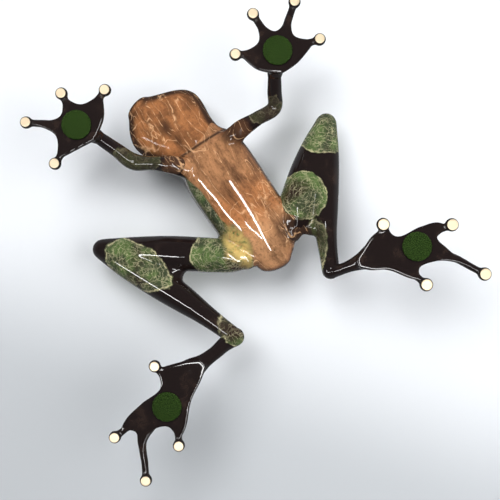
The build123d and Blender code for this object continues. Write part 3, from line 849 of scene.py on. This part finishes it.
def make_torso():
    """Torso: an oval tube along the spine with the roots of the limbs flowing out of it."""
    shells = [tube(torso_stations(), squareness=2.15, round_ends=0.6)]
    for side in ("right", "left"):
        shoulder, armpit, elbow, hip, knee = joints(side, "shoulder", "armpit", "elbow", "hip", "knee")
        fullness = 1.0 if side == "right" else 1.08
        thigh = [(0.02, 5.4), (0.12, 7.4 * fullness), (0.24, 7.8 * fullness), (0.36, 6.4)]
        arm = run_stations(shoulder, armpit, [(0.0, 5.2), (0.6, 4.7), (1.0, 4.1)])
        shells.append(tube(run_stations(hip, knee, thigh)))
        shells.append(tube(arm + run_stations(armpit, elbow, [(0.3, 3.4), (0.5, 2.6)])))
    obj = fused("torso_casting", shells, settings()[0].detail, 12, 34)
    points = points_of(obj.data)
    x, y = points[:, 0], points[:, 1]
    down = facing_down(obj.data)
    under = smooth_share(down, -0.3, 0.0)
    edge = 3.0 - 3.7 * smooth_share(-y, 12.0, 31.0)
    near = smooth_share(x, edge - 1.5, edge + 1.5)
    moss = moss_share(points)
    aside = np.abs(x - SPINE_X)
    # Painted shade: darker on the flanks that turn away from below, at the roots of the left arm and left
    # thigh and in the crease of the neck
    flank = 0.85 * smooth_share(down, 0.75, 0.25) * smooth_share(aside, 19.0, 16.0)
    shoulder = 0.85 * bell_at(points, LEFT_ARM_ROOT, 6.5)
    hip = 0.95 * bell_at(points, LEFT_HIP_ROOT, 9.0)
    # Painted light: the copper is lighter where it faces down towards the lamps, at the chest and at the rump
    ends = np.maximum(smooth_share(y, -2.0, -16.0), 1.5 * smooth_share(y, 4.0, 16.0))
    painted_light = smooth_share(down, 0.4, 0.9) * ends
    painted_shade = np.maximum.reduce([flank, shoulder, hip, neck_line(points)])
    copper = 1.1 * under * near - 0.9 * moss - 1.2 * bell_at(points, BEHIND_HIP, 5.0)
    paint(obj, copper=copper, painted_shade=painted_shade, moss=moss, painted_light=painted_light, satin=satin_share(points))
    finish_piece(obj, patina(), ["torso"])


def make_head():
    """Head: an oval tube along its own axis with a mound for each eye, a mouth line and nostrils."""
    ahead = head_point(1.0, 0.0, 0.0) - head_point(0.0, 0.0, 0.0)
    shells = [tube(head_stations(), squareness=2.2, round_ends=0.55, heading=ahead)]
    for side in ("right", "left"):
        shells.append(ball(eye_seat(side)[0], MOUND_RADIUS))
    obj = fused("head_casting", shells, settings()[0].detail, 12, 22)
    mesh = obj.data
    points = points_of(mesh)
    s, c = math.sin(HEAD_TURN), math.cos(HEAD_TURN)
    rel = points - NECK
    forward = -rel[:, 0] * s - rel[:, 1] * c
    across = rel[:, 0] * c - rel[:, 1] * s
    mouth = MOUTH_HEIGHT + 1.6 * (forward / HEAD_LENGTH - 0.6)
    groove = 0.55 * bump_of(points[:, 2] - mouth, 0.55) * smooth_share(forward, 9.0, 13.0)
    aside = np.abs(np.abs(across) - NOSTRIL_SPREAD)
    nostril = 0.8 * bump_of(np.hypot(forward - NOSTRIL_FORWARD, aside), 0.8) * (points[:, 2] > 25.0)
    set_points(mesh, points - normals_of(mesh) * (groove + nostril)[:, None])
    down = facing_down(mesh)
    under = smooth_share(down, -0.3, 0.05)
    # Painted shade: darker on the rims that turn away from below, on a patch at the left side, on the right
    # cheek and in the crease of the neck
    corner = 0.8 * bump_of(np.hypot(forward - 14.0, across - 16.0), 6.0)
    cheek_x, cheek_y = (points[:, 0] - CHEEK_SHADE[0]) / 0.7, points[:, 1] - CHEEK_SHADE[1]
    cheek = 0.75 * bump_of(np.hypot(cheek_x, cheek_y), 6.0)
    painted_shade = np.maximum.reduce([0.9 * smooth_share(down, 0.98, 0.66), corner, cheek, neck_line(points)])
    paint(obj, copper=under * 1.05, painted_shade=painted_shade, satin=0.8 * smooth_share(down, 0.2, 0.5))
    finish_piece(obj, patina(), ["head"])


def make_arm(side):
    """Arm: a round tube from inside the shoulder over the elbow to the wrist."""
    shoulder, armpit, elbow, wrist = joints(side, "shoulder", "armpit", "elbow", "wrist")
    stations = run_stations(shoulder, armpit, [(0.2, 4.3), (1.0, 4.1)])
    stations += run_stations(armpit, elbow, [(0.5, 3.2), (1.0, ELBOW_RADIUS[side])])
    stations += run_stations(elbow, wrist, [(0.5, 3.2), (1.0, 2.9)])
    obj = fused(side + "_arm_casting", [tube(stations, 0.5)], settings()[0].detail * 0.8, 8, 4)
    points = points_of(obj.data)
    root = np.linalg.norm(points - (armpit * 0.6 + shoulder * 0.4), axis=1)
    # Painted shade: the whole arm is darkened, its copper root and its green patches too
    paint(obj, copper=smooth_share(root, 13.0, 5.0), painted_shade=0.8, satin=satin_share(points))
    finish_piece(obj, patina(), [side + "_arm"])


def make_leg(side):
    """Leg: thigh and shin as round tubes that run into each other at the knee, the hollow between filled."""
    hip, knee, heel = joints(side, "hip", "knee", "heel")
    full = THIGH_FULLNESS[side]
    thigh = [
        (0.03, 5.8),
        (0.16, full * 0.97),
        (0.36, full * 1.03),
        (0.58, full),
        (0.8, full * 0.84),
        (1.0, 5.0),
    ]
    shells = [
        tube(run_stations(hip, knee, thigh, THIGH_BOW[side])),
        tube(run_stations(knee, heel, SHIN, SHIN_BOW[side])),
    ]
    middle = (hip - knee) / np.linalg.norm(hip - knee) + (heel - knee) / np.linalg.norm(heel - knee)
    middle = middle / np.linalg.norm(middle)
    shells.append(tube([(*(knee + middle * run), width, tall, tall) for run, width, tall in HOLLOW[side]]))
    obj = fused(side + "_leg_casting", shells, settings()[0].detail, 12, 26)
    points = points_of(obj.data)
    # Painted shade: darker at the root of the left thigh, over its copper, on the left shin and at the right
    # heel
    root = bell_at(points, THIGH_ROOT, 6.5)
    shin_shade = 0.7 * bell_at(points, LEFT_SHIN_SHADE, 10.0)
    heel_shade = 0.65 * bell_at(points, RIGHT_HEEL_SHADE, 12.0)
    painted_shade = np.maximum.reduce([0.95 * smooth_share(root, 0.1, 0.3), shin_shade, heel_shade])
    paint(obj, copper=1.1 * root, painted_shade=painted_shade, moss=moss_share(points), satin=satin_share(points))
    finish_piece(obj, patina(), [side + "_thigh", side + "_shin"])


def sole_point(limb, forward, across):
    """Place on the ground, forward and across as shares of a limb's reach from its pad's centre."""
    side = limb.split("_")[0]
    turn = math.radians(HEADING[limb])
    ahead = np.array([SIDE[side] * math.cos(turn), -math.sin(turn)])
    aside = np.array([-SIDE[side] * math.sin(turn), -math.cos(turn)])
    return PAD_CENTRES[limb][:2] + (ahead * forward + aside * across) * REACH[limb]


def web_outline(limb):
    """Closed outline of a web: smooth bays between corners that lie on the toes."""
    tips = [
        sole_point(limb, *(np.array(knuckle) * 0.25 + np.array(tip) * 0.75)) for _, knuckle, tip in TOES[limb]
    ]
    outline = []
    for i, gap in enumerate(WEBS[limb]):
        bay = [sole_point(limb, *place) for place in gap]
        bay = ([tips[i - 1]] if i > 0 else []) + bay + ([tips[i]] if i < len(tips) else [])
        rows = curve_rows([(*p, 0.0) for p in bay], 0.5)
        outline.append(rows[1:, :2] if i > 0 else rows[:, :2])
    return np.vstack(outline)


def make_sole(limb):
    """Hand or foot: a flat web, a flattened tube and a ball for each toe, and the limb's own end."""
    side, kind = limb.split("_")
    sizes = settings()[0]
    ball_radius = sizes.ball_radius / MM * (1.09 if limb == "left_foot" else 1.0)
    shells = [plate(web_outline(limb), 1.0, 3.3)]
    tips = []
    for toe in TOES[limb]:
        start, knuckle, tip = (sole_point(limb, *share) for share in toe)
        tips.append(tip)
        stations = [
            (*start, 2.9, 1.5, 1.2, 1.2),
            (*knuckle, 2.5, 1.75, 1.5, 1.3),
            (*(knuckle * 0.4 + tip * 0.6), 2.4, 1.6, 1.5, 1.3),
            (*tip, 2.2, 1.6, 1.4, 1.3),
        ]
        shells.append(tube(stations, 0.4, 28))
        shells.append(ball((*tip, 1.9), ball_radius))
    if kind == "hand":
        wrist = joints(side, "wrist")[0]
        end = PAD_CENTRES[limb] + UP * 3.0
        flare = [(-0.1, 2.8, 2.5, 2.6), (0.0, 3.1, 2.6, 3.4), (0.35, 4.1, 2.2, 3.8), (0.6, 5.6, 1.6, 3.1)]
        flare.append((0.85, 7.2, 1.0, 2.3))
        stations = [(*(wrist + (end - wrist) * share), *sizes_there) for share, *sizes_there in flare]
        shells.append(tube(stations, 0.4))
    else:
        stations = [
            (*sole_point(limb, ahead / REACH[limb], aside / REACH[limb]), height, wide, tall, tall)
            for ahead, aside, height, wide, tall in TARSUS[limb]
        ]
        shells.append(tube(stations, 0.5))
    obj = fused(limb + "_casting", shells, sizes.foot_detail, 8, 10)
    points = points_of(obj.data)
    reach = np.min([np.hypot(points[:, 0] - t[0], points[:, 1] - t[1]) for t in tips], axis=0)
    bare = smooth_share(points[:, 2], 0.62, -0.15) * (reach < ball_radius)
    points[:, 2] = np.maximum(points[:, 2], 0.0)
    set_points(obj.data, points)
    paint(obj, bare=bare)
    finish_piece(obj, patina(), [limb])


def make_pad(limb):
    """Felt disc: rings from the centre of the lower face out over the rim and back, the rim a bit uneven."""
    sizes = settings()[0]
    centre = sole_point(limb, 0.0, 0.0)
    radius, thick = sizes.pad_radius / MM, sizes.pad_thickness / MM
    sides = 120
    angle = np.linspace(0, 2 * np.pi, sides, endpoint=False)
    ragged = 1 + 0.006 * np.sin(angle * 17 + centre[0]) + 0.004 * np.sin(angle * 41 + centre[1])
    across, along = np.cos(angle) * radius, np.sin(angle) * radius
    flat = np.column_stack([across * ragged, along * ragged])
    rings = [np.column_stack([flat * r, np.full(sides, thick * z)]) for r, z in FELT_PROFILE]
    points = np.vstack(rings + [[[0, 0, 0], [0, 0, thick]]]) + [*centre, 0]
    obj = mesh_object(limb + "_felt", points, ring_faces(len(rings), sides))
    finish_piece(obj, bpy.data.materials.get("fuzzy_felt") or felt_material(), [limb + "_pad"])


def make_eye(side):
    """Eye: a ball seated in its mound."""
    centre, facing = eye_seat(side)
    obj = mesh_object(side + "_eye_glass", *ball(centre + facing * EYE_LIFT, EYE_RADIUS, rows=36, sides=64))
    glass = bpy.data.materials.get("polished_eye") or eye_material()
    finish_piece(obj, glass, [side + "_eye"])


# Studio

CAMERA = np.array([6.64, 18.31, -330.0])
PICTURE_UP = np.array([0.5446, -0.8387, 0.0])
PICTURE_RIGHT = np.array([0.8387, 0.5446, 0.0])
LENS = 55.6
BACKDROP_HEIGHT = 40.2
STAGE_HALF = 1500.0
DIM_WORLD, PALE_WORLD = 0.10, 0.30
WORLD_COLOUR = (0.93, 0.96, 1.0, 1.0)

# The backdrop goes over into its painted shade in this direction, between these two distances in metres
FAR_DIRECTION = (-0.769, 0.633, 0.0)
FAR_START, FAR_END = 0.0255, 0.0975

# Broad lamps, which only light: shift from the frog's middle, power in watts and side in metres
FROG_MIDDLE = np.array([5.0, 10.0, 15.0])
LAMPS = {
    "key_below": (PICTURE_UP * 250 - PICTURE_RIGHT * 170 - UP * 480, 2.8, 0.34),
    "fill_below": (PICTURE_RIGHT * 440 - PICTURE_UP * 20 - UP * 400, 2.9, 0.5),
    "key_above": (np.array([-280, -320, 560]), 3.6, 0.45),
    "fill_above": (np.array([420, -60, 420]), 1.6, 0.5),
}

# Narrow lamps, which only show in the lacquer: start, end and width in millimetres, and brightness
STRIPS = {
    "strip_near": ((72, -60, -500), (-60, 640, -500), 32.0, 28.0),
    "strip_side": ((-400, -160, -250), (-238, 54, -386), 30.0, 28.0),
    "strip_low": ((-105, 40, -480), (-20, 230, -500), 26.0, 28.0),
    "strip_above": ((-330, -160, 400), (-120, 320, 460), 60.0, 1.2),
}


def stage_plane(name, height, downwards, colour, shade_colour):
    """Large square seen by the camera from one side only, which keeps the object's shadow. Its colour goes
    over into a painted shade colour along one direction."""
    corners = [(x * STAGE_HALF, y * STAGE_HALF, height) for x, y in ((-1, -1), (1, -1), (1, 1), (-1, 1))]
    obj = mesh_object(name, corners, [[3, 2, 1, 0] if downwards else [0, 1, 2, 3]])
    net = Net(bpy.data.materials.new(name + "_paint"))
    light = net.node("LightPath", {}).outputs["Is Camera Ray"]
    behind = net.node("NewGeometry", {}).outputs["Backfacing"]
    seen = net.sum("MULTIPLY", light, net.sum("SUBTRACT", 1.0, behind))
    slope = net.node("VectorMath", {0: net.place, 1: FAR_DIRECTION}, "DOT_PRODUCT").outputs["Value"]
    shade = net.mix(net.span(slope, FAR_START, FAR_END), colour, shade_colour)
    matt = net.node("BsdfDiffuse", {"Color": shade}).outputs[0]
    clear = net.node("BsdfTransparent", {}).outputs[0]
    net.output("Material", net.node("MixShader", {0: seen, 1: clear, 2: matt}).outputs[0])
    obj.data.materials.append(net.owner)


def area_lamp(name, width, height, power, matrix):
    """Rectangular area lamp, sizes in metres."""
    data = bpy.data.lights.new(name, "AREA")
    data.shape = "RECTANGLE"
    data.size, data.size_y = width, height
    data.energy = power
    obj = bpy.data.objects.new(name, data)
    obj.matrix_world = matrix
    bpy.context.scene.collection.objects.link(obj)
    return obj


def lamp(name, shift, power, side):
    """Square lamp aimed at the frog's middle, which lights but doesn't show in the lacquer."""
    place = Vector((FROG_MIDDLE + shift) * MM)
    turn = (Vector(FROG_MIDDLE * MM) - place).to_track_quat("-Z", "Y").to_matrix().to_4x4()
    area_lamp(name, side, side, power, Matrix.Translation(place) @ turn).visible_glossy = False


def strip(name, start, end, width, glow):
    """Long narrow lamp from start to end that only shows in the lacquer."""
    start, end = Vector(np.asarray(start) * MM), Vector(np.asarray(end) * MM)
    middle = (start + end) / 2
    along = (end - start).normalized()
    back = middle - Vector(FROG_MIDDLE * MM)
    back = (back - along * back.dot(along)).normalized()
    turn = Matrix([along.cross(back), along, back]).transposed().to_4x4()
    wide, long = width * MM, (end - start).length
    power = glow * math.pi * wide * long
    area_lamp(name, wide, long, power, Matrix.Translation(middle) @ turn).visible_diffuse = False


def studio_world():
    """Plain surroundings: dim below the horizon and pale above it."""
    world = bpy.data.worlds.new("studio")
    bpy.context.scene.world = world
    net = Net(world)
    height = net.node("SeparateXYZ", {0: net.coordinates["Generated"]}).outputs["Z"]
    strength = net.span(height, -0.45, 0.15, DIM_WORLD, PALE_WORLD)
    net.output("World", net.node("Background", {"Color": WORLD_COLOUR, "Strength": strength}).outputs[0])


def make_stage():
    """Floor, backdrop, lamps, world and camera."""
    colours = settings()[1]
    stage_plane("floor", 0.0, False, colours.floor, colours.floor)
    stage_plane("backdrop", BACKDROP_HEIGHT, True, colours.backdrop, colours.backdrop_shade)
    for name, values in LAMPS.items():
        lamp(name, *values)
    for name, values in STRIPS.items():
        strip(name, *values)
    studio_world()
    scene = bpy.context.scene
    scene.view_settings.view_transform = "Standard"
    data = bpy.data.cameras.new("camera")
    data.lens = LENS
    data.sensor_width = 36.0
    data.clip_start, data.clip_end = 0.01, 10.0
    camera = bpy.data.objects.new("camera", data)
    scene.collection.objects.link(camera)
    axes = np.column_stack([PICTURE_RIGHT, PICTURE_UP, np.cross(PICTURE_RIGHT, PICTURE_UP)])
    matrix = Matrix(axes.tolist()).to_4x4()
    matrix.translation = Vector(CAMERA * MM)
    camera.matrix_world = matrix
    scene.camera = camera


# Operators


class FROG_OT_torso(bpy.types.Operator):
    """Make the torso casting"""

    bl_idname = "frog.torso"
    bl_label = "Torso"

    def execute(self, context):
        make_torso()
        return {"FINISHED"}


class FROG_OT_head(bpy.types.Operator):
    """Make the head casting"""

    bl_idname = "frog.head"
    bl_label = "Head"

    def execute(self, context):
        make_head()
        return {"FINISHED"}


class FROG_OT_arms(bpy.types.Operator):
    """Make both arms"""

    bl_idname = "frog.arms"
    bl_label = "Arms"

    def execute(self, context):
        make_arm("right")
        make_arm("left")
        return {"FINISHED"}


class FROG_OT_legs(bpy.types.Operator):
    """Make both legs"""

    bl_idname = "frog.legs"
    bl_label = "Legs"

    def execute(self, context):
        make_leg("right")
        make_leg("left")
        return {"FINISHED"}


class FROG_OT_soles(bpy.types.Operator):
    """Make the hands and feet"""

    bl_idname = "frog.soles"
    bl_label = "Hands and feet"

    def execute(self, context):
        for limb in TOES:
            make_sole(limb)
        return {"FINISHED"}


class FROG_OT_pads(bpy.types.Operator):
    """Make the felt pads"""

    bl_idname = "frog.pads"
    bl_label = "Felt pads"

    def execute(self, context):
        for limb in TOES:
            make_pad(limb)
        return {"FINISHED"}


class FROG_OT_eyes(bpy.types.Operator):
    """Make the eyes"""

    bl_idname = "frog.eyes"
    bl_label = "Eyes"

    def execute(self, context):
        make_eye("right")
        make_eye("left")
        return {"FINISHED"}


class FROG_OT_stage(bpy.types.Operator):
    """Make the floor, the backdrop, the lamps and the camera"""

    bl_idname = "frog.stage"
    bl_label = "Stage"

    def execute(self, context):
        make_stage()
        return {"FINISHED"}


OPERATORS = [
    FROG_OT_torso,
    FROG_OT_head,
    FROG_OT_arms,
    FROG_OT_legs,
    FROG_OT_soles,
    FROG_OT_pads,
    FROG_OT_eyes,
    FROG_OT_stage,
]


class FROG_PT_panel(bpy.types.Panel):
    """Lists the frog's pieces."""

    bl_label = "Bronze tree frog"
    bl_idname = "FROG_PT_panel"
    bl_space_type = "VIEW_3D"
    bl_region_type = "UI"
    bl_category = "Frog"

    def draw(self, context):
        for operator in OPERATORS:
            self.layout.operator(operator.bl_idname)


def register():
    """Registers the settings, the operators and the panel."""
    for cls in (FrogSizes, FrogColours, *OPERATORS, FROG_PT_panel):
        bpy.utils.register_class(cls)
    bpy.types.Scene.frog_sizes = bpy.props.PointerProperty(type=FrogSizes)
    bpy.types.Scene.frog_colours = bpy.props.PointerProperty(type=FrogColours)


def unregister():
    """Takes them away again."""
    del bpy.types.Scene.frog_colours
    del bpy.types.Scene.frog_sizes
    for cls in (FROG_PT_panel, *reversed(OPERATORS), FrogColours, FrogSizes):
        bpy.utils.unregister_class(cls)


def main():
    """Makes every piece and the stage."""
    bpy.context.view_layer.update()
    register()
    bpy.ops.frog.torso()
    bpy.ops.frog.head()
    bpy.ops.frog.arms()
    bpy.ops.frog.legs()
    bpy.ops.frog.soles()
    bpy.ops.frog.pads()
    bpy.ops.frog.eyes()
    bpy.ops.frog.stage()


if __name__ == "__main__":
    main()
